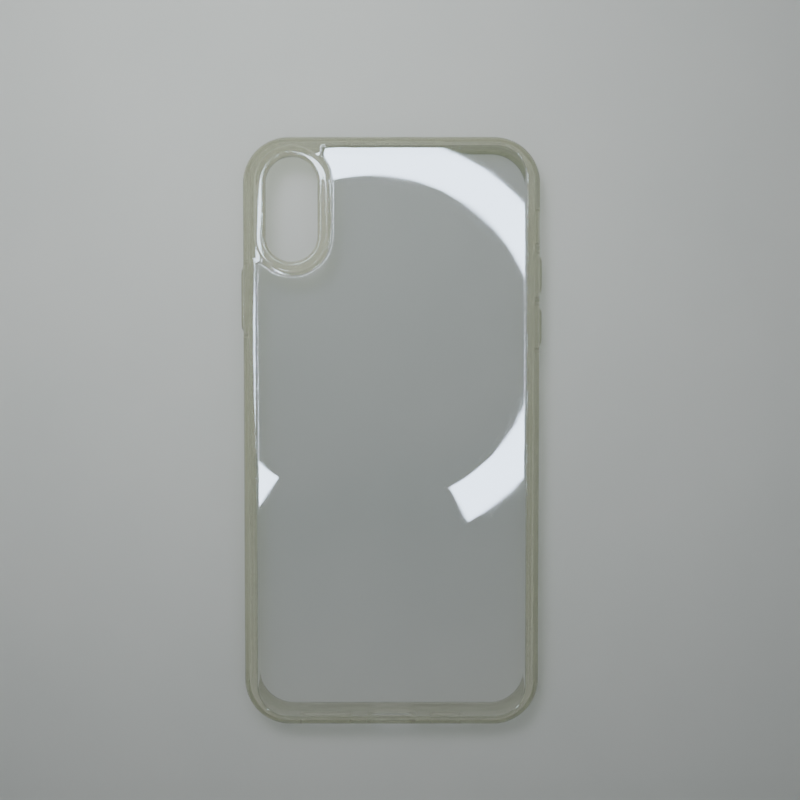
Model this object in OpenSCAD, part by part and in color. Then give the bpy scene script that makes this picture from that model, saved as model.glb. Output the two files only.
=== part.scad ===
// Clear hybrid phone case: a rigid clear plate bonded into a soft bumper with a raised camera guard.
// The case stands back-up on its screen lip, with its open side down.
// X runs across the case, Y towards the camera end and Z out of the back. Sizes are in millimetres.

/* [Phone] */
// Width of the phone that the case holds
phone_w = 77.4; // [74:0.1:82]
// Length of the phone that the case holds
phone_l = 157.5; // [150:0.1:170]
// Thickness of the phone that the case holds
phone_t = 7.7; // [7.2:0.1:9]
// Gap between the phone and the case, on every side
phone_gap = 0.1; // [0.05:0.05:0.3]

/* [Bumper] */
// Thickness of the bumper's side walls
wall_t = 1.6; // [1.4:0.1:2.2]
// Radius of the bumper's outer corners, seen from the back
corner_r = 12.5; // [11:0.5:14]
// Rounding of the outer edge next to the screen
front_edge_r = 1.3; // [0.6:0.1:1.4]
// Rounding of the outer edge next to the back plate
back_edge_r = 1.8; // [1:0.1:2.2]

/* [Screen lip] */
// Height of the lip that keeps the screen off a table
lip_h = 1.1; // [0.8:0.1:1.6]
// How far the lip reaches in over the phone's front edge
lip_reach = 1.2; // [0.8:0.1:1.8]

/* [Back plate] */
// Thickness of the clear plate
plate_t = 1.3; // [1.2:0.1:1.8]
// Bumper band seen beside the plate on the long sides
side_band = 3.85; // [3.6:0.05:4.5]
// Bumper band seen beside the plate at the two ends
end_band = 2.85; // [2.75:0.05:3.5]
// Radius of the plate's visible corners
plate_corner_r = 8.5; // [7:0.5:10]
// How far the plate's thin flange runs on under the bumper
flange_w = 0.9; // [0.5:0.1:1]
// Thickness of that flange
flange_t = 0.6; // [0.4:0.1:0.8]

/* [Camera guard] */
// Centre of the camera opening, measured in from the bumper's left side
camera_in = 13.4; // [12.5:0.1:14]
// Centre of the camera opening, measured down from the bumper's top
camera_down = 19.8; // [19.2:0.1:22]
// Width of the camera opening
opening_w = 14.1; // [12:0.1:15]
// Length of the camera opening, with its round ends
opening_l = 28.4; // [26:0.1:30]
// Height of the guard above the plate
guard_rise = 0.9; // [0.5:0.1:1.4]
// Width of the guard's raised ring at its foot
ring_w = 3; // [2.6:0.05:3]
// Rounding of the ring's inner top edge
ring_inner_r = 0.7; // [0.3:0.1:0.8]
// How far the ring's outer side leans in from its foot to its top
ring_lean = 0.6; // [0.3:0.1:0.8]
// Width of the guard's whole foot, with the flush collar round the ring
collar_w = 3.85; // [3.6:0.05:4]
// Radius of the plate's corner between the collar and the top band
top_web_r = 2; // [1.5:0.1:2.5]
// Radius of the plate's corner between the collar and the side band
side_web_r = 1; // [0.8:0.1:1.5]
// Bumper band that runs unbroken outside the guard
guard_band = 2.6; // [2.5:0.05:2.65]

/* [Buttons] */
// Height of each button's pad, front to back
button_h = 4.6; // [3:0.1:5]
// How far a button stands out of the bumper's side
button_rise = 0.8; // [0.3:0.05:1]
// How far a button is pressed in
button_travel = 0.4; // [0.2:0.05:0.5]
// Length of the slope at each end of a button
button_slope = 1.4; // [0.6:0.1:2]
// Bevel along a button's two long edges
button_bevel = 0.4; // [0.2:0.05:0.6]
// Length of the side button
side_button_l = 19.5; // [14:0.5:22]
// Place of the side button along the case
side_button_y = 36.6; // [30:0.1:40]
// Length of each volume button
volume_button_l = 12.4; // [10:0.1:12.6]
// Place of the volume-up button along the case
volume_up_y = 43.3; // [43.3:0.1:44]
// Place of the volume-down button along the case
volume_down_y = 29.1; // [24:0.1:29.1]
// Free gap between a button and the web round it
button_gap = 0.15; // [0.1:0.05:0.2]
// Width of the thin web round a button
web_w = 0.7; // [0.5:0.05:0.7]
// Thickness of the thin web
web_t = 0.45; // [0.3:0.05:0.6]
// Depth of the groove outside the web
groove_depth = 0.4; // [0.2:0.05:0.6]

/* [Cutouts] */
// Length of the mute switch cutout
mute_l = 10.2; // [8:0.1:12]
// Height of the mute switch cutout
mute_h = 4.6; // [4.2:0.1:5.4]
// Place of the mute switch cutout along the case
mute_y = 56.4; // [56:0.1:60]
// Width of the charging port cutout
port_w = 13.6; // [11:0.1:15]
// Height of the charging port cutout
port_h = 6.4; // [5:0.1:6.8]
// Height of the speaker and microphone slots
slot_h = 2.4; // [1.6:0.1:3]
// Length of the speaker slot
speaker_w = 14.2; // [10:0.1:15]
// Place of the speaker slot across the case
speaker_x = -18.3; // [-18.8:0.1:-16]
// Length of the microphone slot
microphone_w = 8.6; // [6:0.1:11]
// Place of the microphone slot across the case
microphone_x = 15; // [14:0.1:18]

/* [Hidden] */
$fn = 96;
// Steps in each small rounding of the bumper's section
edge_steps = 6;
// How far a cutter runs past the face that it leaves
past = 1;
bumper_colour = [0.80, 0.82, 0.72];
guard_colour = [0.84, 0.85, 0.78];
web_colour = [0.76, 0.78, 0.68];
plate_colour = [0.84, 0.88, 0.88, 0.55];

cavity_w = phone_w + 2 * phone_gap;
cavity_l = phone_l + 2 * phone_gap;
cavity_r = corner_r - wall_t;
outer_w = cavity_w + 2 * wall_t;
outer_l = cavity_l + 2 * wall_t;
plate_z = lip_h + phone_t + phone_gap;
back_z = plate_z + plate_t;
phone_mid_z = lip_h + phone_t / 2 + phone_gap / 2;
camera_x = camera_in - outer_w / 2;
camera_y = outer_l / 2 - camera_down;
opening_r = opening_w / 2;
// Distance from the opening's centre to the centre of each round end
camera_run = opening_l / 2 - opening_r;
// Outer radius of the guard's foot
collar_r = opening_r + collar_w;
window_x = outer_w / 2 - side_band;
window_y = outer_l / 2 - end_band;
// The webs' circles sink this far into the collar's circle, so that they cross it cleanly
web_bite = 0.05;

// Points along an arc, for the roundings of a section
function arc(centre, r, from, to, steps = edge_steps) =
    [for (i = [0:steps]) let(a = from + (to - from) * i / steps) centre + r * [cos(a), sin(a)]];

// A flat rectangle with round corners, centred
module round_rect(w, l, r) {
    square([w - 2 * r, l], center = true);
    square([w, l - 2 * r], center = true);
    for (sx = [-1, 1], sy = [-1, 1])
        translate([sx * (w / 2 - r), sy * (l / 2 - r)]) circle(r = r);
}

// A flat slot with round ends, centred, with its length along X
module slot(l, h) {
    square([l - h, h], center = true);
    for (s = [-1, 1])
        translate([s * (l - h) / 2, 0]) circle(d = h);
}

// The camera opening's outline, grown by a margin
module camera_slot(r) {
    translate([camera_x, camera_y]) rotate(90) slot(2 * (camera_run + r), 2 * r);
}

// Half of the section through a solid the size of the whole bumper, in from its corner centres
module bumper_section() {
    polygon(concat(
        [[0, 0]],
        arc([corner_r - front_edge_r, front_edge_r], front_edge_r, -90, 0),
        arc([corner_r - back_edge_r, back_z - back_edge_r], back_edge_r, 0, 90),
        [[0, back_z]]));
}

// The bumper's outer shape as one solid block with rounded corners and edges
module bumper_block() {
    x = outer_w / 2 - corner_r;
    y = outer_l / 2 - corner_r;
    for (mx = [0, 1], my = [0, 1])
        mirror([mx, 0, 0]) mirror([0, my, 0])
            translate([x, y, 0]) rotate_extrude(angle = 90) bumper_section();
    for (m = [0, 1])
        mirror([m, 0, 0]) translate([x, y, 0]) rotate([90, 0, 0]) linear_extrude(2 * y) bumper_section();
    for (m = [0, 1])
        mirror([0, m, 0]) translate([-x, y, 0]) rotate([90, 0, 90]) linear_extrude(2 * x) bumper_section();
    translate([-x, -y, 0]) cube([2 * x, 2 * y, back_z]);
}

// The webs that fill between the collar and the bumper's bands; grow is how far the plate reaches in
module collar_webs(grow) {
    arc_top = [camera_x, camera_y + camera_run];
    arc_low = [camera_x, camera_y - camera_run];
    top_y = window_y - top_web_r;
    top_x = camera_x + sqrt(pow(collar_r + top_web_r - web_bite, 2) - pow(top_y - arc_top[1], 2));
    side_x = side_web_r - window_x;
    side_y = arc_low[1] - sqrt(pow(collar_r + side_web_r - web_bite, 2) - pow(side_x - arc_low[0], 2));
    difference() {
        polygon([arc_top, [camera_x, window_y + flange_w], [top_x, window_y + flange_w], [top_x, top_y]]);
        translate([top_x, top_y]) circle(r = top_web_r + grow);
    }
    difference() {
        polygon([arc_low, [-window_x - flange_w, arc_low[1]], [-window_x - flange_w, side_y], [side_x, side_y]]);
        translate([side_x, side_y]) circle(r = side_web_r + grow);
    }
}

// The guard's foot, seen from the back
module guard_foot() {
    intersection() {
        round_rect(outer_w - 2 * guard_band, outer_l - 2 * guard_band, corner_r - guard_band);
        union() {
            camera_slot(collar_r);
            collar_webs(0);
        }
    }
}

// The plate's visible face, seen from the back
module plate_face() {
    difference() {
        round_rect(2 * window_x, 2 * window_y, plate_corner_r);
        guard_foot();
    }
}

// The plate with its flange, seen from the back
module plate_flange() {
    difference() {
        round_rect(2 * (window_x + flange_w), 2 * (window_y + flange_w), plate_corner_r + flange_w);
        camera_slot(collar_r - flange_w);
        collar_webs(flange_w);
        // The corner outside the guard belongs to the bumper alone
        translate([-outer_w / 2, camera_y - camera_run]) square([camera_in, camera_down + camera_run]);
    }
}

module back_plate() color(plate_colour) {
    translate([0, 0, plate_z]) linear_extrude(flange_t) plate_flange();
    translate([0, 0, plate_z + flange_t]) linear_extrude(plate_t - flange_t) plate_face();
}

// A cutter through one wall: side 1 is the right wall and -1 the left
module side_cut(y, l, h, side) {
    translate([side * outer_w / 2, y, phone_mid_z]) rotate([90, 0, 90])
        linear_extrude(2 * (wall_t + past), center = true) slot(l, h);
}

// A cutter through the bottom wall
module end_cut(x, w, h) {
    translate([x, -outer_l / 2, phone_mid_z]) rotate([90, 0, 0])
        linear_extrude(2 * (wall_t + past), center = true) slot(w, h);
}

module button_pocket(y, l, side) side_cut(y, l + 2 * web_w, button_h + 2 * web_w, side);

module bumper_frame() color(bumper_colour) difference() {
    bumper_block();
    translate([0, 0, -past]) cube([2 * outer_w, 2 * outer_l, 2 * (lip_h + past)], center = true);
    translate([0, 0, lip_h - past]) linear_extrude(plate_z - lip_h + past)
        round_rect(cavity_w, cavity_l, cavity_r);
    translate([0, 0, plate_z - past]) linear_extrude(flange_t + past) plate_flange();
    translate([0, 0, plate_z]) linear_extrude(plate_t + past) plate_face();
    translate([0, 0, plate_z]) linear_extrude(plate_t + past) guard_foot();
    button_pocket(side_button_y, side_button_l, -1);
    button_pocket(volume_up_y, volume_button_l, 1);
    button_pocket(volume_down_y, volume_button_l, 1);
    side_cut(mute_y, mute_l, mute_h, 1);
    end_cut(0, port_w, port_h);
    end_cut(speaker_x, speaker_w, slot_h);
    end_cut(microphone_x, microphone_w, slot_h);
}

module screen_lip() color(bumper_colour) difference() {
    intersection() {
        bumper_block();
        cube([2 * outer_w, 2 * outer_l, 2 * lip_h], center = true);
    }
    translate([0, 0, -past]) linear_extrude(lip_h + 2 * past)
        round_rect(cavity_w - 2 * lip_reach, cavity_l - 2 * lip_reach, cavity_r - lip_reach);
}

// Section through the guard's raised ring, out from the centre line of the opening
module ring_section() {
    foot_r = opening_r + ring_w;
    top_z = back_z + guard_rise;
    polygon(concat(
        [[opening_r, back_z]],
        arc([opening_r + ring_inner_r, top_z - ring_inner_r], ring_inner_r, 180, 90),
        arc([foot_r - ring_lean, top_z - ring_lean], ring_lean, 90, 15),
        [[foot_r, back_z]]));
}

// The ring follows the camera opening: two straight runs and two half turns
module guard_ring() {
    translate([camera_x, camera_y, 0])
        for (m = [0, 1]) mirror([0, m, 0]) {
            translate([0, camera_run, 0]) rotate_extrude(angle = 180) ring_section();
            mirror([m, 0, 0]) translate([0, camera_run, 0]) rotate([90, 0, 0])
                linear_extrude(2 * camera_run) ring_section();
        }
}

module camera_guard() color(guard_colour) {
    difference() {
        translate([0, 0, plate_z]) linear_extrude(plate_t) guard_foot();
        translate([0, 0, plate_z - past]) linear_extrude(flange_t + past) plate_flange();
        translate([0, 0, plate_z - past]) linear_extrude(plate_t + 2 * past) camera_slot(opening_r);
    }
    guard_ring();
}

// A button pad for the right wall: sloped ends, bevelled long edges and round ends
module button_pad(y, l) {
    inner_x = cavity_w / 2 + button_travel + phone_gap / 2;
    wall_x = outer_w / 2;
    face_x = wall_x + button_rise;
    half_l = l / 2;
    half_h = button_h / 2;
    translate([0, y, phone_mid_z]) intersection() {
        rotate([90, 0, 90]) linear_extrude(face_x + past) slot(l, button_h);
        linear_extrude(2 * button_h, center = true)
            polygon([[inner_x, -half_l], [wall_x, -half_l], [face_x, button_slope - half_l],
                     [face_x, half_l - button_slope], [wall_x, half_l], [inner_x, half_l]]);
        rotate([90, 0, 0]) linear_extrude(2 * l, center = true)
            polygon([[inner_x, -half_h], [face_x - button_bevel, -half_h], [face_x, button_bevel - half_h],
                     [face_x, half_h - button_bevel], [face_x - button_bevel, half_h], [inner_x, half_h]]);
    }
}

// The thin web that carries a button in the right wall
module button_web(y, l) {
    translate([outer_w / 2 - groove_depth - web_t, y, phone_mid_z]) rotate([90, 0, 90])
        linear_extrude(web_t) difference() {
            slot(l + 2 * web_w, button_h + 2 * web_w);
            slot(l + 2 * button_gap, button_h + 2 * button_gap);
        }
}

module side_button() color(guard_colour) mirror([1, 0, 0]) button_pad(side_button_y, side_button_l);
module side_button_web() color(web_colour) mirror([1, 0, 0]) button_web(side_button_y, side_button_l);
module volume_up_button() color(guard_colour) button_pad(volume_up_y, volume_button_l);
module volume_up_web() color(web_colour) button_web(volume_up_y, volume_button_l);
module volume_down_button() color(guard_colour) button_pad(volume_down_y, volume_button_l);
module volume_down_web() color(web_colour) button_web(volume_down_y, volume_button_l);

back_plate();
bumper_frame();
screen_lip();
camera_guard();
side_button();
side_button_web();
volume_up_button();
volume_up_web();
volume_down_button();
volume_down_web();
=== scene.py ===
"""A clear hybrid phone case that lies on its open side: a hard clear plate held in a soft bumper."""

from __future__ import annotations

import logging
import math
from dataclasses import dataclass
from enum import Enum

import bmesh
import bpy
from mathutils import Euler, Matrix

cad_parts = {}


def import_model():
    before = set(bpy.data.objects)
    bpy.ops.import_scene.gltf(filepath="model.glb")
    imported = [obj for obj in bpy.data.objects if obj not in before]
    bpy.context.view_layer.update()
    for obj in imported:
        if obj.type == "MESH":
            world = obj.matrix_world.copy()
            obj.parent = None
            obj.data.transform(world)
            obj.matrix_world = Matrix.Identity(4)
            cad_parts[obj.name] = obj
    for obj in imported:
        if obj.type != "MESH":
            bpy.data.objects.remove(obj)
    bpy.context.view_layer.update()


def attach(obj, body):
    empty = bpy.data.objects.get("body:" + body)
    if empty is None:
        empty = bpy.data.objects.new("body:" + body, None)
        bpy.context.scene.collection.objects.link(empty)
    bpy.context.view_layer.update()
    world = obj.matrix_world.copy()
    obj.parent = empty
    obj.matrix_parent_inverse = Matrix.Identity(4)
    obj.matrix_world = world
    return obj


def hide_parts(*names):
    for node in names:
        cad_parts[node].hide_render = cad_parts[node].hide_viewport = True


LOG = logging.getLogger("phone_case")

# Meshes are drawn in millimetres and brought to metres when they are whole
MM = 0.001
# Hairline left between two pieces that touch, in millimetres
HAIRLINE = 0.02
# A straight run longer than this, in millimetres, gets points of its own
LONG_RUN = 2.0
# How far the pale bloom of a soft plastic spreads from its low angles
HAZE_SPREAD = 0.35

Point = tuple[float, float]
Point3 = tuple[float, float, float]
Colour = tuple[float, float, float]


# ---------------------------------------------------------------- outlines


def arc(centre: Point, radius: float, start: float, end: float, steps: int) -> list[Point]:
    """Points along an arc, with both ends.

    Args:
        centre: Centre of the arc.
        radius: Its radius.
        start: Angle of the first point, in degrees.
        end: Angle of the last point, in degrees.
        steps: Number of straight steps.

    Returns:
        The points, in order.
    """
    turns = (math.radians(start + (end - start) * i / steps) for i in range(steps + 1))
    return [(centre[0] + radius * math.cos(t), centre[1] + radius * math.sin(t)) for t in turns]


def between(a: Point, b: Point, steps: int) -> list[Point]:
    """Points on a straight run, without its two ends.

    Args:
        a: One end.
        b: The other end.
        steps: Number of equal steps.

    Returns:
        The steps - 1 points inside the run.
    """
    return [(a[0] + (b[0] - a[0]) * i / steps, a[1] + (b[1] - a[1]) * i / steps) for i in range(1, steps)]


@dataclass(frozen=True)
class RoundedRectangle:
    """A rectangle with round corners, centred on the case."""

    half_w: float
    half_l: float
    radius: float

    def grown(self, by: float) -> RoundedRectangle:
        """The same outline moved outwards by a distance, or inwards if it is negative."""
        return RoundedRectangle(self.half_w + by, self.half_l + by, self.radius + by)

    def outline(self, corner_steps: int = 16, side_steps: int = 14) -> list[Point]:
        """Points round the outline, anticlockwise from the right side.

        Args:
            corner_steps: Steps in each corner.
            side_steps: Steps along each long side; the ends have half as many.

        Returns:
            The closed outline's points, with none repeated.
        """
        x = self.half_w - self.radius
        y = self.half_l - self.radius
        corners = [((x, y), 0.0), ((-x, y), 90.0), ((-x, -y), 180.0), ((x, -y), 270.0)]
        points: list[Point] = []
        for index, (centre, start) in enumerate(corners):
            turn = arc(centre, self.radius, start, start + 90.0, corner_steps)
            if points:
                steps = side_steps // 2 if index % 2 else side_steps
                points += between(points[-1], turn[0], steps)
            points += turn
        return points + between(points[-1], points[0], side_steps)


@dataclass(frozen=True)
class Stadium:
    """A slot outline with two round ends, upright in its own plane."""

    centre: Point
    run: float

    def outline(self, radius: float, end_steps: int = 40, side_steps: int = 6) -> list[Point]:
        """Points round the slot, anticlockwise from the right end of its top arc.

        Args:
            radius: Radius of the round ends.
            end_steps: Steps in each half turn.
            side_steps: Steps along each straight side.

        Returns:
            The closed outline's points, with none repeated.
        """
        x, y = self.centre
        top = arc((x, y + self.run), radius, 0.0, 180.0, end_steps)
        low = arc((x, y - self.run), radius, 180.0, 360.0, end_steps)
        return top + between(top[-1], low[0], side_steps) + low + between(low[-1], top[0], side_steps)


@dataclass(frozen=True)
class CaseSizes:
    """Sizes of the whole case that several pieces share, in millimetres.

    Attributes:
        outer: The case's outline.
        window: The clear plate's outline, before the camera guard's foot is taken out of one corner.
        wall: Thickness of the side walls.
        plate_z: Height of the plate's inner face.
        flange_top: Height of the top of the plate's flange.
        back_z: Height of the plate's back face.
        flange_reach: How far the flange runs on under the bumper.
        mid_z: Height of the buttons and of every cut in the walls.
        camera: Middle line of the camera opening.
        opening_r: Radius of the opening's ends.
        collar_r: Radius of the camera guard's foot.
        top_web_r: Round of the corner between the guard's foot and the plate's top edge.
        side_web_r: Round of the corner between the guard's foot and the plate's left edge.
    """

    outer: RoundedRectangle = RoundedRectangle(40.4, 80.45, 12.5)
    window: RoundedRectangle = RoundedRectangle(36.55, 77.6, 8.5)
    wall: float = 1.6
    plate_z: float = 8.9
    flange_top: float = 9.5
    back_z: float = 10.2
    flange_reach: float = 0.9
    mid_z: float = 5.0
    camera: Stadium = Stadium((-27.0, 60.65), 7.15)
    opening_r: float = 7.05
    collar_r: float = 10.9
    top_web_r: float = 2.0
    side_web_r: float = 1.0

    def plate_outline(self, grow: float) -> list[Point]:
        """The clear plate's outline: the window with the camera guard's foot taken out of one corner.

        Args:
            grow: How far the outline is moved outwards all round.

        Returns:
            The closed outline's points, anticlockwise.
        """
        x, y = self.camera.centre
        high = (x, y + self.camera.run)
        low = (x, y - self.camera.run)
        reach = self.collar_r + self.top_web_r
        top_y = self.window.half_l - self.top_web_r
        top_x = x + math.sqrt(reach**2 - (top_y - high[1]) ** 2)
        touch = math.degrees(math.atan2(top_y - high[1], top_x - x))
        reach = self.collar_r + self.side_web_r
        side_x = self.side_web_r - self.window.half_w
        side_y = low[1] - math.sqrt(reach**2 - (side_x - x) ** 2)
        lean = math.degrees(math.atan2(side_y - low[1], side_x - x))
        edge = self.window.grown(grow)
        inner_x = edge.half_w - edge.radius
        inner_y = edge.half_l - edge.radius
        collar = self.collar_r - grow
        parts = [
            arc((inner_x, inner_y), edge.radius, 0.0, 90.0, 16),
            arc((top_x, top_y), self.top_web_r + grow, 90.0, 180.0 + touch, 12),
            arc(high, collar, touch, 0.0, 10)[1:],
            arc(low, collar, 0.0, lean, 36),
            arc((side_x, side_y), self.side_web_r + grow, 180.0 + lean, 180.0, 8)[1:],
            arc((-inner_x, -inner_y), edge.radius, 180.0, 270.0, 16),
            arc((inner_x, -inner_y), edge.radius, 270.0, 360.0, 16),
        ]
        points: list[Point] = []
        for part in parts:
            if points and math.dist(points[-1], part[0]) > LONG_RUN:
                points += between(points[-1], part[0], 10)
            points += part
        return points + between(points[-1], points[0], 14)


SIZES = CaseSizes()


# ---------------------------------------------------------------- meshes


class MeshDraft:
    """The points and faces of one closed piece, gathered ring by ring in millimetres."""

    def __init__(self) -> None:
        """Start with nothing drawn."""
        self.points: list[Point3] = []
        self.faces: list[list[int]] = []
        self.fills: list[tuple[list[int], ...]] = []

    def ring(self, points: list[Point3]) -> list[int]:
        """Add a closed ring of points.

        Args:
            points: The ring's points, in order.

        Returns:
            Their numbers.
        """
        first = len(self.points)
        self.points += points
        return list(range(first, len(self.points)))

    def level(self, outline: list[Point], z: float) -> list[int]:
        """Add a flat ring at one height and return its point numbers."""
        return self.ring([(x, y, z) for x, y in outline])

    def loft(self, rings: list[list[int]], closed: bool = False) -> None:
        """Join rings of equal count with faces.

        Args:
            rings: The rings, in order.
            closed: Whether the last ring joins the first.
        """
        pairs = list(zip(rings, rings[1:]))
        if closed:
            pairs.append((rings[-1], rings[0]))
        for low, high in pairs:
            count = len(low)
            for i in range(count):
                j = (i + 1) % count
                self.faces.append([low[i], low[j], high[j], high[i]])

    def fill(self, *loops: list[int]) -> None:
        """Close a flat area: the first loop is its border and the others are holes in it."""
        self.fills.append(loops)

    def close(self, rings: list[list[int]]) -> None:
        """Join rings and fill the first and the last, for a piece with no hole through it.

        Args:
            rings: The rings, in order.
        """
        self.loft(rings)
        self.fill(rings[0])
        self.fill(rings[-1])

    def build(self, name: str) -> bpy.types.Object:
        """Make the mesh object, still in millimetres.

        Args:
            name: The piece's name.

        Returns:
            The new object.
        """
        bm = bmesh.new()
        verts = [bm.verts.new(point) for point in self.points]
        for face in self.faces:
            bm.faces.new([verts[i] for i in face])
        for loops in self.fills:
            edges = []
            for loop in loops:
                for a, b in zip(loop, loop[1:] + loop[:1]):
                    pair = (verts[a], verts[b])
                    edges.append(bm.edges.get(pair) or bm.edges.new(pair))
            bmesh.ops.triangle_fill(bm, use_beauty=True, use_dissolve=False, edges=edges)
        bmesh.ops.recalc_face_normals(bm, faces=bm.faces[:])
        mesh = bpy.data.meshes.new(name)
        bm.to_mesh(mesh)
        bm.free()
        piece = bpy.data.objects.new(name, mesh)
        bpy.context.scene.collection.objects.link(piece)
        return piece


def carve(piece: bpy.types.Object, cutters: list[bpy.types.Object]) -> None:
    """Take cutters out of a piece and throw them away.

    Args:
        piece: The piece to cut.
        cutters: Closed meshes to take out of it.
    """
    for cutter in cutters:
        cut = piece.modifiers.new(cutter.name, "BOOLEAN")
        cut.operation = "DIFFERENCE"
        cut.solver = "EXACT"
        cut.object = cutter
    bpy.context.view_layer.update()
    graph = bpy.context.evaluated_depsgraph_get()
    mesh = bpy.data.meshes.new_from_object(piece.evaluated_get(graph))
    mesh.name = piece.name
    piece.modifiers.clear()
    piece.data = mesh
    for cutter in cutters:
        bpy.data.objects.remove(cutter)


def finish_mesh(piece: bpy.types.Object, crease: float = 38.0) -> None:
    """Bring a piece to metres and shade it smooth between its creases.

    Args:
        piece: The piece, in millimetres.
        crease: Edges that bend by more than this many degrees stay crisp.
    """
    piece.data.transform(Matrix.Scale(MM, 4))
    piece.data.shade_smooth()
    piece.data.set_sharp_from_angle(angle=math.radians(crease))
    even = piece.modifiers.new("even_shading", "WEIGHTED_NORMAL")
    even.keep_sharp = True
    even.weight = 60


# ---------------------------------------------------------------- finishes


class NodeBench:
    """A small helper that lays out one material's nodes."""

    def __init__(self, name: str) -> None:
        """Start an empty node material.

        Args:
            name: The material's name.
        """
        self.material = bpy.data.materials.new(name)
        self.material.use_nodes = True
        self.tree = self.material.node_tree
        self.tree.nodes.clear()
        self.output = self.add("ShaderNodeOutputMaterial")
        self.place = self.add("ShaderNodeTexCoord").outputs["Object"]

    def add(self, kind: str, **values: object) -> bpy.types.Node:
        """Add a node and set its inputs; an underscore in a name stands for a space.

        Args:
            kind: The node's type.
            **values: Input values by name, or sockets to link from.

        Returns:
            The new node.
        """
        node = self.tree.nodes.new(kind)
        for key, value in values.items():
            socket = node.inputs[key.replace("_", " ")]
            if isinstance(value, bpy.types.NodeSocket):
                self.tree.links.new(value, socket)
            else:
                socket.default_value = value
        return node

    def noise(self, scale: float, detail: float,
              stretch: Point3 = (1.0, 1.0, 1.0)) -> bpy.types.NodeSocket:
        """Noise in the piece's own coordinates.

        Args:
            scale: Waves per metre.
            detail: Number of finer layers.
            stretch: Scale along each axis.

        Returns:
            The noise value's socket.
        """
        place = self.add("ShaderNodeMapping", Vector=self.place, Scale=stretch).outputs["Vector"]
        return self.add("ShaderNodeTexNoise", Vector=place, Scale=scale, Detail=detail).outputs["Fac"]

    def span(self, value: bpy.types.NodeSocket, low: float, high: float, start: float = 0.3,
             stop: float = 0.7) -> bpy.types.NodeSocket:
        """Map a value from start..stop to low..high.

        Args:
            value: The socket to map.
            low: Result at start.
            high: Result at stop.
            start: Value that gives low.
            stop: Value that gives high.

        Returns:
            The mapped value's socket.
        """
        node = self.add(
            "ShaderNodeMapRange", Value=value, From_Min=start, From_Max=stop, To_Min=low, To_Max=high
        )
        return node.outputs["Result"]

    def blend(self, fac: bpy.types.NodeSocket, a: Colour, b: Colour) -> bpy.types.NodeSocket:
        """A colour between two others.

        Args:
            fac: Socket that runs from 0 for a to 1 for b.
            a: The first colour.
            b: The second colour.

        Returns:
            The colour's socket.
        """
        node = self.tree.nodes.new("ShaderNodeMix")
        node.data_type = "RGBA"
        self.tree.links.new(fac, node.inputs[0])
        node.inputs[6].default_value = (*a, 1.0)
        node.inputs[7].default_value = (*b, 1.0)
        return node.outputs[2]

    def bump(self, height: bpy.types.NodeSocket, strength: float, distance: float,
             under: bpy.types.NodeSocket | None = None) -> bpy.types.NodeSocket:
        """A bump in the surface.

        Args:
            height: Socket that shapes it.
            strength: How strongly it shows, from 0 to 1.
            distance: Its depth, in metres.
            under: Another bump that it lies over.

        Returns:
            The normal's socket.
        """
        node = self.add("ShaderNodeBump", Height=height, Strength=strength, Distance=distance)
        if under is not None:
            self.tree.links.new(under, node.inputs["Normal"])
        return node.outputs["Normal"]

    def put(self, shader: bpy.types.Node) -> bpy.types.Material:
        """Send a shader to the surface and return the material."""
        self.tree.links.new(shader.outputs[0], self.output.inputs["Surface"])
        return self.material


@dataclass(frozen=True)
class ClearFinish:
    """A see-through plastic: light passes on to what is under it, tinted by its depth.

    Attributes:
        name: The material's name.
        tint: Its colour where it is clearest.
        aged: Its colour where it has yellowed most.
        ior: How strongly it bends light.
        gloss: Strength of its surface shine.
        haze: Strength of its pale bloom at low angles.
        roughness: Least and most roughness.
        passes: Share of the surface that is see-through.
        shade: Tint of the light that falls through it onto other things.
        depth_colour: Colour that it takes where it is deep.
        depth: How fast it takes that colour.
        wave: Scale, strength and depth of its slow waves.
        grain: Scale, strength and depth of its fine grain.
        clouds: Scale and detail of its changes of colour.
        smears: Scale and detail of its changes of roughness.
        smear_stretch: How the smears are drawn out.
    """

    name: str
    tint: Colour
    aged: Colour
    ior: float
    gloss: float
    haze: float
    roughness: Point
    passes: float
    shade: Colour
    depth_colour: Colour
    depth: float
    wave: Point3
    grain: Point3
    clouds: Point = (55.0, 3.0)
    smears: Point = (140.0, 4.0)
    smear_stretch: Point3 = (1.0, 0.45, 1.0)

    def material(self) -> bpy.types.Material:
        """Build the finish.

        Returns:
            The new material.
        """
        bench = NodeBench(self.name)
        clouds = bench.noise(*self.clouds)
        smears = bench.noise(*self.smears, self.smear_stretch)
        wave_scale, wave_strength, wave_depth = self.wave
        grain_scale, grain_strength, grain_depth = self.grain
        waves = bench.bump(bench.noise(wave_scale, 1.0), wave_strength, wave_depth)
        grain = bench.bump(bench.noise(grain_scale, 3.0), grain_strength, grain_depth, waves)
        body = bench.add(
            "ShaderNodeBsdfPrincipled",
            Base_Color=bench.blend(bench.span(clouds, 0.0, 1.0), self.tint, self.aged),
            Roughness=bench.span(smears, *self.roughness),
            IOR=self.ior,
            Transmission_Weight=self.passes,
            Normal=grain,
        )
        body.inputs["Specular IOR Level"].default_value = self.gloss
        body.inputs["Sheen Weight"].default_value = self.haze
        body.inputs["Sheen Roughness"].default_value = HAZE_SPREAD
        through = bench.add("ShaderNodeBsdfTransparent", Color=(*self.shade, 1.0))
        rays = bench.add("ShaderNodeLightPath")
        surface = body
        for kind in ("Is Shadow Ray", "Is Diffuse Ray"):
            both = bench.tree.nodes.new("ShaderNodeMixShader")
            bench.tree.links.new(rays.outputs[kind], both.inputs[0])
            bench.tree.links.new(surface.outputs[0], both.inputs[1])
            bench.tree.links.new(through.outputs[0], both.inputs[2])
            surface = both
        depth = bench.add("ShaderNodeVolumeAbsorption", Color=(*self.depth_colour, 1.0), Density=self.depth)
        bench.tree.links.new(depth.outputs[0], bench.output.inputs["Volume"])
        return bench.put(surface)


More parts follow.
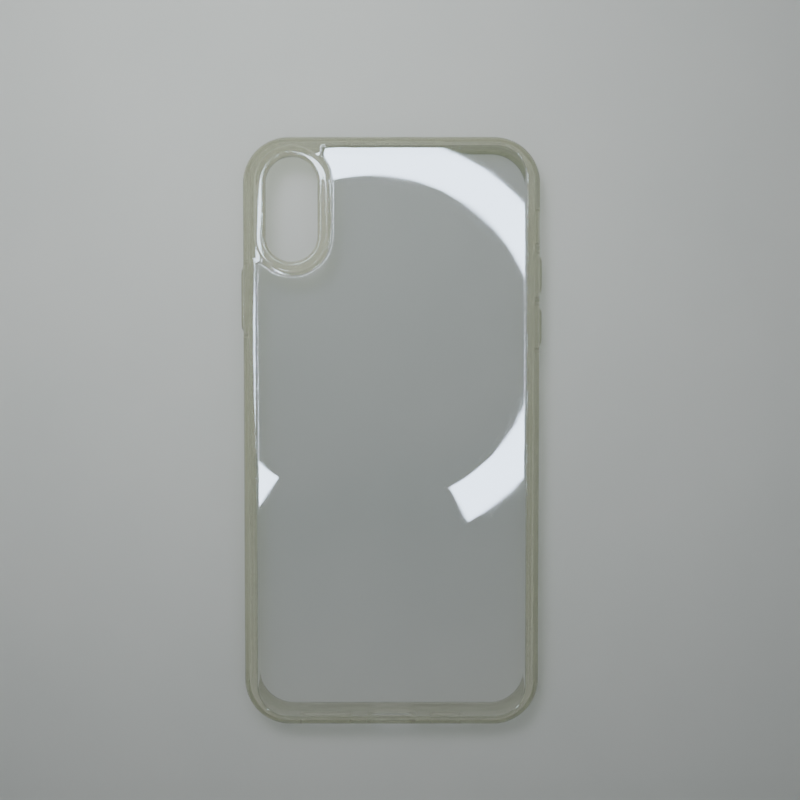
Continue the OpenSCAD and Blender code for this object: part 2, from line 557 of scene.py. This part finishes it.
class Finish(Enum):
    """The case's plastics."""

    PLATE = ClearFinish(
        name="hard_clear_plate", tint=(0.955, 0.96, 0.95), aged=(0.935, 0.94, 0.93),
        ior=1.585, gloss=0.5, haze=0.0,
        roughness=(0.015, 0.05), passes=1.0, shade=(0.83, 0.84, 0.845),
        depth_colour=(0.78, 0.84, 0.80), depth=30.0,
        wave=(38.0, 0.10, 0.00006), grain=(2600.0, 0.03, 0.00001),
    )
    BUMPER = ClearFinish(
        name="soft_clear_bumper", tint=(0.70, 0.71, 0.62), aged=(0.68, 0.685, 0.57),
        ior=1.50, gloss=0.05, haze=0.35,
        roughness=(0.03, 0.08), passes=0.80, shade=(0.82, 0.835, 0.79),
        depth_colour=(0.60, 0.61, 0.38), depth=62.0,
        wave=(70.0, 0.2, 0.0001), grain=(3800.0, 0.10, 0.00003),
    )
    COVER = ClearFinish(
        name="soft_button_cover", tint=(0.70, 0.71, 0.62), aged=(0.68, 0.685, 0.57),
        ior=1.50, gloss=0.08, haze=0.35,
        roughness=(0.08, 0.16), passes=0.84, shade=(0.89, 0.90, 0.87),
        depth_colour=(0.62, 0.64, 0.40), depth=60.0,
        wave=(90.0, 0.3, 0.0003), grain=(4200.0, 0.14, 0.00003),
    )
    SKIN = ClearFinish(
        name="soft_thin_skin", tint=(0.87, 0.885, 0.82), aged=(0.85, 0.86, 0.77),
        ior=1.50, gloss=0.08, haze=0.35,
        roughness=(0.16, 0.28), passes=0.88, shade=(0.89, 0.90, 0.87),
        depth_colour=(0.74, 0.78, 0.38), depth=26.0,
        wave=(120.0, 0.4, 0.0003), grain=(4600.0, 0.16, 0.00003),
    )


@dataclass(frozen=True)
class TableFinish:
    """The matt table top.

    Attributes:
        pale: Its palest colour.
        dark: Its darkest colour.
        roughness: How matt it is.
        gloss: Strength of the little shine that it has.
        mottle: Scale and detail of its changes of colour.
        fleck: Scale and detail of its fine relief.
        relief: Strength and depth of that relief.
    """

    pale: Colour = (0.60, 0.61, 0.60)
    dark: Colour = (0.575, 0.59, 0.58)
    roughness: float = 0.75
    gloss: float = 0.1
    mottle: Point = (24.0, 5.0)
    fleck: Point = (1900.0, 2.0)
    relief: Point = (0.12, 0.00005)

    def material(self) -> bpy.types.Material:
        """Build the finish.

        Returns:
            The new material.
        """
        bench = NodeBench("pale_table")
        mottle = bench.noise(*self.mottle)
        fleck = bench.noise(*self.fleck)
        surface = bench.add(
            "ShaderNodeBsdfPrincipled",
            Base_Color=bench.blend(bench.span(mottle, 0.0, 1.0), self.pale, self.dark),
            Roughness=self.roughness,
            Normal=bench.bump(fleck, *self.relief),
        )
        surface.inputs["Specular IOR Level"].default_value = self.gloss
        return bench.put(surface)


# ---------------------------------------------------------------- pieces


@dataclass
class ClearPlate:
    """The hard clear back plate, with the thin flange that the bumper grips.

    Attributes:
        sizes: The case's shared sizes.
        edge: Width of the bevel round the back face.
        flange_edge: Width of the bevel round the flange.
    """

    sizes: CaseSizes = SIZES
    edge: float = 0.30
    flange_edge: float = 0.08

    def build(self) -> bpy.types.Object:
        """Make the plate.

        Returns:
            The plate's object.
        """
        s = self.sizes
        reach = s.flange_reach
        profile = [
            (reach - self.flange_edge, s.plate_z),
            (reach, s.plate_z + self.flange_edge),
            (reach, s.flange_top - 0.10),
            (reach - self.flange_edge, s.flange_top - 0.02),
            (0.06, s.flange_top - 0.01),
            (0.0, s.flange_top + 0.05),
            (0.0, s.back_z - self.edge),
            (-0.04, s.back_z - 0.3 * self.edge),
            (-self.edge, s.back_z),
            (-self.edge - 0.25, s.back_z),
        ]
        draft = MeshDraft()
        draft.close([draft.level(s.plate_outline(grow), z) for grow, z in profile])
        plate = draft.build("clear_plate")
        finish_mesh(plate)
        return plate


class Wall(Enum):
    """The walls that have cuts: each maps a cut's own (along, up, out) to the case."""

    RIGHT = 1
    LEFT = -1
    BOTTOM = 0

    def place(self, along: float, up: float, out: float) -> Point3:
        """Find a point of a cut.

        Args:
            along: Its place along the wall.
            up: Its height.
            out: Its distance out from the wall's outer face.

        Returns:
            The point.
        """
        if self is Wall.BOTTOM:
            return (along, -SIZES.outer.half_l - out, up)
        return (self.value * (SIZES.outer.half_w + out), along, up)


@dataclass(frozen=True)
class WallCut:
    """A slot through one wall, with its outer rim rolled over.

    Attributes:
        name: The slot's name.
        wall: The wall that it goes through.
        centre: Its place along the wall.
        length: Its length.
        height: Its height.
        rim: Round of its outer rim.
        inner_rim: Round of its inner rim.
        past_outside: How far its cutter reaches out of the wall.
        past_inside: How far its cutter reaches into the cavity.
        mouth: Share of a rim's round that the cutter keeps past the wall.
    """

    name: str
    wall: Wall
    centre: float
    length: float
    height: float
    rim: float = 0.45
    inner_rim: float = 0.15
    past_outside: float = 1.2
    past_inside: float = 0.9
    mouth: float = 0.75

    def outline(self, grow: float) -> list[Point]:
        """The slot's outline in the wall's plane, grown by a margin."""
        lying = Stadium((0.0, 0.0), (self.length - self.height) / 2)
        outline = lying.outline(self.height / 2 + grow, end_steps=24, side_steps=8)
        return [(self.centre + y, SIZES.mid_z + x) for x, y in outline]

    def cutter(self) -> bpy.types.Object:
        """Make the cutter for this slot.

        Returns:
            The cutter's object.
        """
        depth = SIZES.wall
        clear = 0.01
        roll = [(part, 1.0 - math.sqrt(1.0 - part**2)) for part in (0.92, 0.8, 0.62, 0.42, 0.2, 0.0)]
        outside = self.mouth * self.rim
        inside = self.mouth * self.inner_rim
        profile = [(self.past_outside, outside), (clear, outside)]
        profile += [(self.rim * (part - 1.0), self.rim * grow) for part, grow in roll]
        roll.reverse()
        profile += [(-depth - self.inner_rim * (part - 1.0), self.inner_rim * grow) for part, grow in roll]
        profile += [(-depth - clear, inside), (-depth - self.past_inside, inside)]
        draft = MeshDraft()
        rings = []
        for out, grow in profile:
            rings.append(draft.ring([self.wall.place(u, v, out) for u, v in self.outline(grow)]))
        draft.close(rings)
        return draft.build(self.name)


@dataclass(frozen=True)
class Button:
    """One soft button: its cover, the thin skin that carries it and the hole in the wall round it.

    Attributes:
        name: The button's name.
        body: The body that its cover moves with.
        wall: The wall that it stands in.
        centre: Its place along the wall.
        length: Length of its cover.
        height: Height of its cover.
        rise: How far its face stands out of the wall.
        slope: Length of each sloped end.
        edge_round: Round of its long edges.
        skin_w: Width of the skin round it.
        skin_gap: Gap between the cover and the skin.
        inner: How far the cover reaches into the wall.
    """

    name: str
    body: str
    wall: Wall
    centre: float
    length: float
    height: float = 4.6
    rise: float = 0.8
    slope: float = 1.4
    edge_round: float = 0.42
    skin_w: float = 0.7
    skin_gap: float = 0.06
    inner: float = 1.15

    def hole(self) -> WallCut:
        """The hole in the wall, out to the skin's outer edge."""
        length, height = self.length + 2 * self.skin_w, self.height + 2 * self.skin_w
        return WallCut(self.name + "_hole", self.wall, self.centre, length, height, rim=0.3, inner_rim=0.1)

    def ring(self, draft: MeshDraft, half_l: float, half_h: float, out: float) -> list[int]:
        """Add one ring of the button to a draft.

        Args:
            draft: The draft to add to.
            half_l: Half the ring's length.
            half_h: Half its height.
            out: Its distance out from the wall's face.

        Returns:
            The ring's point numbers.
        """
        lying = Stadium((0.0, 0.0), half_l - half_h)
        outline = lying.outline(half_h, end_steps=28, side_steps=12)
        return draft.ring([self.wall.place(self.centre + y, SIZES.mid_z + x, out) for x, y in outline])

    def cover(self) -> bpy.types.Object:
        """Make the cover: sloped ends, soft long edges and a flat face.

        Returns:
            The cover's object.
        """
        half_l = self.length / 2
        half_h = self.height / 2
        # Each step is its distance out, and what it takes off half the length and half the height
        profile = [
            (-self.inner, 0.15, 0.15),
            (-self.inner + 0.05, 0.04, 0.04),
            (-self.inner + 0.15, 0.0, 0.0),
            (-0.12, 0.0, 0.0),
            (0.0, 0.08, 0.0),
        ]
        for part in (0.15, 0.35, 0.55, 0.75, 0.88, 0.96, 1.0):
            roll = self.edge_round * (1.0 - math.sqrt(1.0 - part**2.4))
            profile.append((self.rise * part, self.slope * part**1.25, roll))
        profile.append((self.rise, self.slope + 0.5, self.edge_round + 0.35))
        draft = MeshDraft()
        draft.close([self.ring(draft, half_l - cut_l, half_h - cut_h, out) for out, cut_l, cut_h in profile])
        cover = draft.build(self.name + "_cover")
        finish_mesh(cover, 50.0)
        return cover

    def skin(self) -> bpy.types.Object:
        """Make the skin: a thin dished band between the cover and the wall.

        Returns:
            The skin's object.
        """
        half_l = self.length / 2
        half_h = self.height / 2
        near = self.skin_gap
        mid = 0.36
        far = self.skin_w - HAIRLINE
        # The dished outer face and then the inner one, as distances from the cover and out from the wall
        section = [
            (near, -0.42), (near + 0.08, -0.47), (mid, -0.52), (far - 0.06, -0.45), (far, -0.40),
            (far, -0.84), (far - 0.06, -0.88), (mid, -0.85), (near + 0.06, -0.85), (near, -0.80),
        ]
        draft = MeshDraft()
        rings = [self.ring(draft, half_l + grow, half_h + grow, out) for grow, out in section]
        draft.loft(rings, closed=True)
        skin = draft.build(self.name + "_skin")
        finish_mesh(skin, 50.0)
        return skin


@dataclass
class SoftBumper:
    """The soft moulding: side walls, screen lip, back band and the raised loop round the camera opening.

    Attributes:
        buttons: The buttons that need holes in its walls.
        sizes: The case's shared sizes.
        front_edge: Round between the side walls and the lip's face.
        back_fall: How far the crown of the back band lies below the plate.
        back_w: Width of the rounded part of the back band.
        back_h: Height of that part.
        lip_h: Height of the screen lip.
        lip_reach: How far the lip reaches in from the walls.
        lip_round: Round of the lip's inner edges.
        cavity_round: Round where the walls meet the lip and the plate.
        seam_w: Width of the dip along the seam with the plate.
        seat_gap: Gap between the bumper and the plate's edge under that dip.
        ring_w: Width of the raised loop.
        ring_rise: How far the loop stands over the plate.
        crest_round: Round of the loop's outer edge.
        mouth_round: Round of the loop's inner edge, at the opening.
        cuts: The slots in its walls.
    """

    buttons: tuple[Button, ...]
    sizes: CaseSizes = SIZES
    front_edge: float = 1.3
    back_fall: float = 0.127
    back_w: float = 2.90
    back_h: float = 2.0
    lip_h: float = 1.1
    lip_reach: float = 1.2
    lip_round: float = 0.25
    cavity_round: float = 0.2
    seam_w: float = 0.30
    seat_gap: float = 0.14
    ring_w: float = 3.0
    ring_rise: float = 0.9
    crest_round: float = 0.70
    mouth_round: float = 0.95
    cuts: tuple[WallCut, ...] = (
        WallCut("mute_cutout", Wall.RIGHT, 56.4, 10.2, 4.6, 0.55),
        WallCut("port_cutout", Wall.BOTTOM, 0.0, 13.6, 6.4, 0.5),
        WallCut("speaker_cutout", Wall.BOTTOM, -18.3, 14.2, 2.4, 0.35),
        WallCut("microphone_cutout", Wall.BOTTOM, 15.0, 8.6, 2.4, 0.35),
    )

    def shell_profile(self) -> list[Point]:
        """Draw the section through the walls, from the back band round the outside to the cavity.

        Returns:
            The section's points, each as its inset from the outline and its height.
        """
        s = self.sizes
        lip_edge = s.wall + self.lip_reach
        # Part of a round of radius 1, stretched to the band's width and height
        crown = arc((0.0, 0.0), 1.0, 100.0, 180.0, 14)
        top_z = s.back_z - self.back_fall
        back = [((1.0 + x) * self.back_w, top_z + (z - 1.0) * self.back_h) for x, z in crown]
        front = arc((self.front_edge, self.front_edge), self.front_edge, 180.0, 270.0, 8)
        lip_r = self.lip_round
        lip_out = arc((lip_edge - lip_r, lip_r), lip_r, 270.0, 360.0, 4)
        lip_in = arc((lip_edge - lip_r, self.lip_h - lip_r), lip_r, 0.0, 90.0, 4)
        inner_r = self.cavity_round
        step = arc((s.wall + inner_r, self.lip_h + inner_r), inner_r, 270.0, 180.0, 3)
        roof = arc((s.wall + inner_r, s.plate_z - inner_r), inner_r, 180.0, 90.0, 3)
        return back + front + lip_out + lip_in + step + roof

    def ring_profile(self) -> list[Point]:
        """Draw the section through the raised loop, from its foot over the top to the opening's lower edge.

        Returns:
            The section's points, each as its radius and its height.
        """
        s = self.sizes
        rim = s.opening_r
        foot = rim + self.ring_w
        top = s.back_z + self.ring_rise
        mouth_r = self.mouth_round
        return [
            (foot + 0.07, s.back_z),
            (foot + 0.035, s.back_z + 0.015),
            (foot + 0.005, s.back_z + 0.07),
            *arc((foot - 0.75, top - 0.76), self.crest_round, 12.0, 90.0, 9),
            (foot - 1.25, top - 0.015),
            *arc((rim + mouth_r, top - mouth_r), mouth_r, 90.0, 180.0, 10),
            (rim, s.plate_z + 0.12),
            (rim + 0.04, s.plate_z + 0.03),
            (rim + 0.12, s.plate_z),
        ]

    def seat_profile(self) -> list[Point]:
        """Draw the section of the seat that holds the plate, from the back face down round the flange.

        Returns:
            The section's points, each as its distance out from the plate's outline and its height.
        """
        s = self.sizes
        reach = s.flange_reach
        return [
            (self.seam_w, s.back_z),
            (0.20, s.back_z - 0.05),
            (0.15, s.back_z - 0.16),
            (self.seat_gap, s.back_z - 0.30),
            (self.seat_gap, s.flange_top + 0.01),
            (reach + HAIRLINE, s.flange_top + 0.01),
            (reach + HAIRLINE, s.plate_z + 0.08),
            (reach + 0.10, s.plate_z),
        ]

    def build(self) -> bpy.types.Object:
        """Make the bumper and cut every hole in its walls.

        Returns:
            The bumper's object.
        """
        s = self.sizes
        draft = MeshDraft()
        shell = [draft.level(s.outer.grown(-inset).outline(), z) for inset, z in self.shell_profile()]
        draft.loft(shell)
        seat = [draft.level(s.plate_outline(grow), z) for grow, z in self.seat_profile()]
        draft.loft(seat)
        loop = [draft.level(s.camera.outline(radius), z) for radius, z in self.ring_profile()]
        draft.loft(loop)
        draft.fill(shell[0], seat[0], loop[0])
        draft.fill(shell[-1], seat[-1], loop[-1])
        bumper = draft.build("soft_bumper")
        holes = [cut.cutter() for cut in self.cuts] + [button.hole().cutter() for button in self.buttons]
        carve(bumper, holes)
        finish_mesh(bumper)
        return bumper


# ---------------------------------------------------------------- stage


def flat_piece(name: str, points: list[Point3], faces: list[tuple[int, ...]]) -> bpy.types.Object:
    """Make a thin piece of the stage, in metres.

    Args:
        name: Its name.
        points: Its points.
        faces: The points of each face, by number.

    Returns:
        The new object.
    """
    mesh = bpy.data.meshes.new(name)
    mesh.from_pydata(points, [], faces)
    piece = bpy.data.objects.new(name, mesh)
    bpy.context.scene.collection.objects.link(piece)
    return piece


def level_sheet(name: str, low: Point, high: Point, z: float) -> bpy.types.Object:
    """Make a level rectangle, in metres.

    Args:
        name: Its name.
        low: Its corner with the least x and y.
        high: Its corner with the most x and y.
        z: Its height.

    Returns:
        The new object.
    """
    corners = [(low[0], low[1], z), (high[0], low[1], z), (high[0], high[1], z), (low[0], high[1], z)]
    return flat_piece(name, corners, [(0, 1, 2, 3)])


@dataclass
class Studio:
    """The table, the light and the camera, in metres.

    Attributes:
        camera_place: Where the camera stands.
        camera_tilt: How far it tilts from straight down, in degrees.
        camera_shift: Shift of its lens.
        lens: Its focal length, in millimetres.
        table_half: Half the table's width.
        lamp_centre: Centre of the ring lamp.
        lamp_inner: Its inner radius.
        lamp_outer: Its outer radius.
        lamp_arc: Angles where it starts and ends, in degrees.
        lamp_power: How strongly it lights matt things.
        lamp_gleam: How strongly it shows in shiny things.
        lamp_light: Colour of its light.
        lamp_image: Colour of its reflection.
        card_low: Far edge of the ceiling card, beyond the foot of the case.
        card_high: Near edge of the card.
        card_half_w: Half the card's width.
        card_lift: How far it hangs above the ring lamp.
        card_fade: Length over which it fades in from its near edge.
        card_glow: Its strength.
        card_colour: Its colour.
        softbox_place: Centre of the softbox, which points straight down.
        softbox_size: Its width.
        softbox_watts: Its power.
        softbox_colour: Its colour.
        room_colour: Colour of the light from all round.
        room_horizon: Its strength at the horizon.
        room_overhead: Its strength straight overhead.
    """

    camera_place: Point3 = (0.00095, 0.01995, 0.2272)
    camera_tilt: float = -1.4
    camera_shift: Point = (0.00625, -0.0255)
    lens: float = 36.05
    table_half: float = 1.6
    lamp_centre: Point3 = (-0.0115, 0.0299, 0.227)
    lamp_inner: float = 0.0896
    lamp_outer: float = 0.1107
    lamp_arc: Point = (-62.0, 235.5)
    lamp_power: float = 6.8
    lamp_gleam: float = 70.0
    lamp_light: Colour = (0.95, 1.0, 0.99)
    lamp_image: Colour = (0.66, 0.80, 1.0)
    card_low: float = -0.40
    card_high: float = -0.06
    card_half_w: float = 0.25
    card_lift: float = 0.01
    card_fade: float = 0.13
    card_glow: float = 1.35
    card_colour: Colour = (1.0, 0.97, 0.95)
    softbox_place: Point3 = (-0.055, 0.14, 0.23)
    softbox_size: float = 0.10
    softbox_watts: float = 0.45
    softbox_colour: Colour = (0.965, 1.0, 0.995)
    room_colour: Colour = (0.97, 1.0, 0.985)
    room_horizon: float = 0.40
    room_overhead: float = 0.05

    def set_camera(self) -> None:
        """Place the camera nearly straight above the case."""
        data = bpy.data.cameras.new("camera")
        data.lens = self.lens
        data.sensor_width = 36.0
        data.shift_x, data.shift_y = self.camera_shift
        data.clip_start = 0.01
        camera = bpy.data.objects.new("camera", data)
        camera.location = self.camera_place
        camera.rotation_euler = Euler((math.radians(self.camera_tilt), 0.0, 0.0))
        bpy.context.scene.collection.objects.link(camera)
        bpy.context.scene.camera = camera

    def lay_table(self) -> bpy.types.Object:
        """Lay the table under the case.

        Returns:
            The table's object.
        """
        half = self.table_half
        table = level_sheet("table", (-half, -half), (half, half), 0.0)
        table.data.materials.append(TableFinish().material())
        return table

    def hang_ring_lamp(self) -> bpy.types.Object:
        """Hang the ring lamp, whose reflection is the pale crescent in the plate.

        Returns:
            The lamp's object.
        """
        steps = 96
        start, stop = self.lamp_arc
        x, y, z = self.lamp_centre
        inner = arc((x, y), self.lamp_inner, start, stop, steps)
        outer = arc((x, y), self.lamp_outer, start, stop, steps)
        points = [(px, py, z) for px, py in inner + outer]
        faces = [(i, i + 1, steps + 2 + i, steps + 1 + i) for i in range(steps)]
        lamp = flat_piece("ring_lamp", points, faces)
        bench = NodeBench("ring_lamp_glow")
        rays = bench.add("ShaderNodeLightPath").outputs["Is Glossy Ray"]
        power = bench.span(rays, self.lamp_power, self.lamp_gleam, 0.0, 1.0)
        colour = bench.blend(rays, self.lamp_light, self.lamp_image)
        glow = bench.add("ShaderNodeEmission", Color=colour, Strength=power)
        lamp.data.materials.append(bench.put(glow))
        lamp.visible_camera = False
        lamp.visible_shadow = False
        lamp.visible_transmission = False
        return lamp

    def hang_ceiling_card(self) -> bpy.types.Object:
        """Hang a dim card that only reflections see, fading in towards the foot of the case.

        Returns:
            The card's object.
        """
        z = self.lamp_centre[2] + self.card_lift
        low = (-self.card_half_w, self.card_low)
        card = level_sheet("ceiling_card", low, (self.card_half_w, self.card_high), z)
        bench = NodeBench("ceiling_card_glow")
        along = bench.add("ShaderNodeSeparateXYZ", Vector=bench.place).outputs["Y"]
        power = bench.span(along, 0.0, self.card_glow, self.card_high, self.card_high - self.card_fade)
        glow = bench.add("ShaderNodeEmission", Color=(*self.card_colour, 1.0), Strength=power)
        card.data.materials.append(bench.put(glow))
        card.visible_camera = False
        card.visible_diffuse = False
        card.visible_shadow = False
        card.visible_transmission = False
        return card

    def hang_softbox(self) -> None:
        """Hang a square soft light beyond the camera corner of the case, unseen in reflections."""
        data = bpy.data.lights.new("high_softbox", "AREA")
        data.size = self.softbox_size
        data.energy = self.softbox_watts
        data.color = self.softbox_colour
        softbox = bpy.data.objects.new("high_softbox", data)
        softbox.location = self.softbox_place
        softbox.visible_glossy = False
        softbox.visible_transmission = False
        bpy.context.scene.collection.objects.link(softbox)

    def set_world(self) -> None:
        """Fill the room with pale light that is stronger near the horizon than overhead."""
        world = bpy.data.worlds.new("room")
        world.use_nodes = True
        tree = world.node_tree
        tree.nodes.clear()
        place = tree.nodes.new("ShaderNodeTexCoord")
        split = tree.nodes.new("ShaderNodeSeparateXYZ")
        ramp = tree.nodes.new("ShaderNodeMapRange")
        ramp.inputs["To Min"].default_value = self.room_horizon
        ramp.inputs["To Max"].default_value = self.room_overhead
        glow = tree.nodes.new("ShaderNodeBackground")
        glow.inputs["Color"].default_value = (*self.room_colour, 1.0)
        out = tree.nodes.new("ShaderNodeOutputWorld")
        tree.links.new(place.outputs["Generated"], split.inputs[0])
        tree.links.new(split.outputs["Z"], ramp.inputs["Value"])
        tree.links.new(ramp.outputs["Result"], glow.inputs["Strength"])
        tree.links.new(glow.outputs[0], out.inputs["Surface"])
        bpy.context.scene.world = world

    def build(self) -> None:
        """Set up the camera, the table and every light."""
        self.set_camera()
        self.lay_table()
        self.hang_ring_lamp()
        self.hang_ceiling_card()
        self.hang_softbox()
        self.set_world()


@dataclass
class PhoneCase:
    """The whole case: it builds each piece, dresses it and ties it to its body.

    Attributes:
        buttons: The case's buttons.
    """

    buttons: tuple[Button, ...] = (
        Button("side_button", "side_button", Wall.LEFT, 36.6, 19.5),
        Button("volume_up", "volume_up_button", Wall.RIGHT, 43.3, 12.4),
        Button("volume_down", "volume_down_button", Wall.RIGHT, 29.1, 12.4),
    )

    def dress(self, piece: bpy.types.Object, finish: Finish, slot: str, body: str, *nodes: str) -> None:
        """Give a piece its finish, tie it to its body and hide the frame's nodes that it stands for.

        Args:
            piece: The piece.
            finish: Its plastic.
            slot: The record's material slot; not used.
            body: The body it moves with.
            *nodes: The frame's nodes that it stands for.
        """
        material = bpy.data.materials.get(finish.value.name) or finish.value.material()
        piece.data.materials.append(material)
        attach(piece, body)
        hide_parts(*nodes)
        LOG.info("%s: %d faces on %s", piece.name, len(piece.data.polygons), body)

    def build(self) -> None:
        """Build the plate, the bumper and the buttons."""
        plate = ClearPlate().build()
        self.dress(plate, Finish.PLATE, "clear_plate", "case_body", "back_plate")
        bumper = SoftBumper(self.buttons).build()
        self.dress(
            bumper, Finish.BUMPER, "soft_bumper", "case_body", "bumper_frame", "screen_lip", "camera_guard"
        )
        for button in self.buttons:
            self.dress(button.cover(), Finish.COVER, "button_cover", button.body, button.body)
            self.dress(button.skin(), Finish.SKIN, "button_web", "case_body", button.name + "_web")


def main() -> None:
    """Load the frame, and build the case and its studio."""
    logging.basicConfig(level=logging.INFO, format="%(name)s: %(message)s")
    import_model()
    Studio().build()
    PhoneCase().build()


if __name__ == "__main__":
    main()
